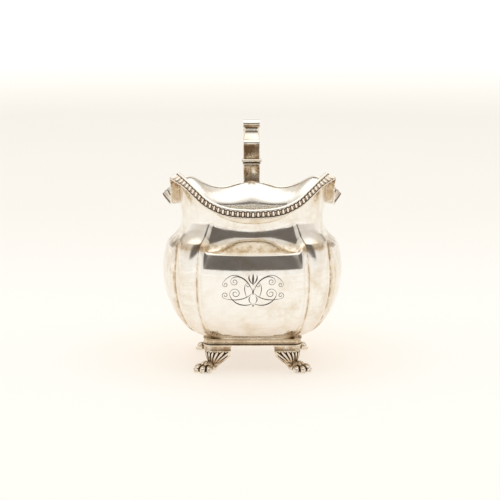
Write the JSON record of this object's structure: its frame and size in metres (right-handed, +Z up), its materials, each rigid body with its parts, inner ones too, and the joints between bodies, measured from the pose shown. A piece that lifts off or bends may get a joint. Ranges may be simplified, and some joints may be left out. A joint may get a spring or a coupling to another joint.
{
  "type": "cream jug",
  "caption": "Lobed, square-bodied silver cream jug with a concave neck, waved gadrooned rim, wide spout lip, tall looped strap handle and cast paw feet.",
  "frame": {"origin": "middle of the footprint, spout tip to handle, on the table", "axes": "+Z up, -Y out through the spout, +Y towards the handle, +X to the right seen from the spout end"},
  "size_m": [0.0938, 0.142, 0.1185],
  "materials": {
    "polished_silver": "polished silver with light tarnish and fine scratches",
    "border_silver": "cast and chased silver, oxidised in the recesses",
    "cast_silver": "cast silver, oxidised in the recesses"
  },
  "bodies": {
    "root": {"body_shell": "polished_silver", "base_band": "polished_silver", "border_front": "border_silver", "border_side_right": "border_silver", "border_side_left": "border_silver", "border_back_right": "border_silver", "border_back_left": "border_silver", "handle_root": "polished_silver", "handle_collar": "polished_silver", "handle_post": "polished_silver", "handle_knuckle": "polished_silver", "handle_throat": "polished_silver", "handle_thumb_scroll": "polished_silver", "handle_loop": "polished_silver", "handle_tail_scroll": "polished_silver", "handle_lower_pad": "polished_silver", "foot_front_right_plate": "cast_silver", "foot_front_right_bracket": "cast_silver", "foot_front_right_paw": "cast_silver", "foot_back_right_plate": "cast_silver", "foot_back_right_bracket": "cast_silver", "foot_back_right_paw": "cast_silver", "foot_back_left_plate": "cast_silver", "foot_back_left_bracket": "cast_silver", "foot_back_left_paw": "cast_silver", "foot_front_left_plate": "cast_silver", "foot_front_left_bracket": "cast_silver", "foot_front_left_paw": "cast_silver"}
  },
  "joints": []
}
